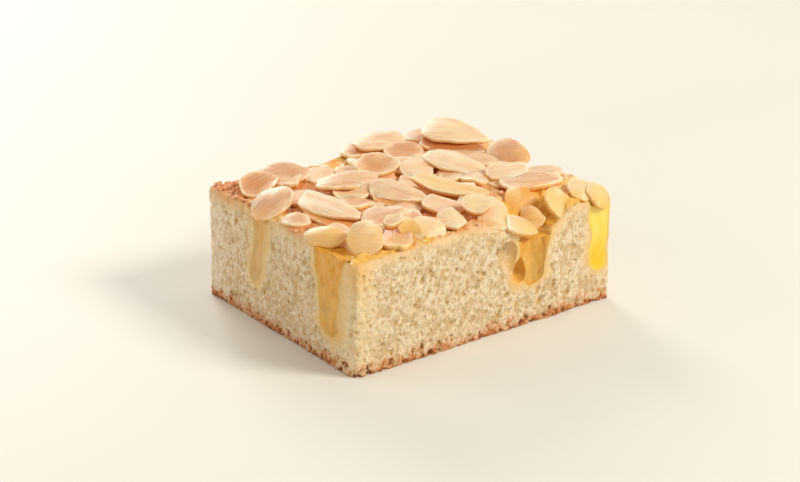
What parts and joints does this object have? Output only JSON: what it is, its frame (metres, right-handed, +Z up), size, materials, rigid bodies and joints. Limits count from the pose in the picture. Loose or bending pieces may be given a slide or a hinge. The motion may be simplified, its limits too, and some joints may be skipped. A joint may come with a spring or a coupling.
{
  "type": "butter yeast cake",
  "caption": "Cut rectangular piece of tray-baked yeast cake with open crumb, butter-filled wells at the cut sides and a browned top covered with flaked almonds.",
  "frame": {"origin": "middle of the flat base, on the surface that the piece lies on", "axes": "+X along the long side, +Y along the short side, +Z up; the corner nearest to the picture's camera is at -X, -Y"},
  "size_m": [0.0954, 0.0772, 0.0421],
  "materials": {
    "crumb": "open, soft yeast crumb, browned on top and beneath",
    "butter": "glossy, set butter"
  },
  "bodies": {
    "root": {"cake": "crumb", "butter_near": "butter", "butter_end": "butter", "butter_front": "butter", "butter_corner": "butter", "butter_back": "butter", "butter_far": "butter"}
  },
  "joints": []
}
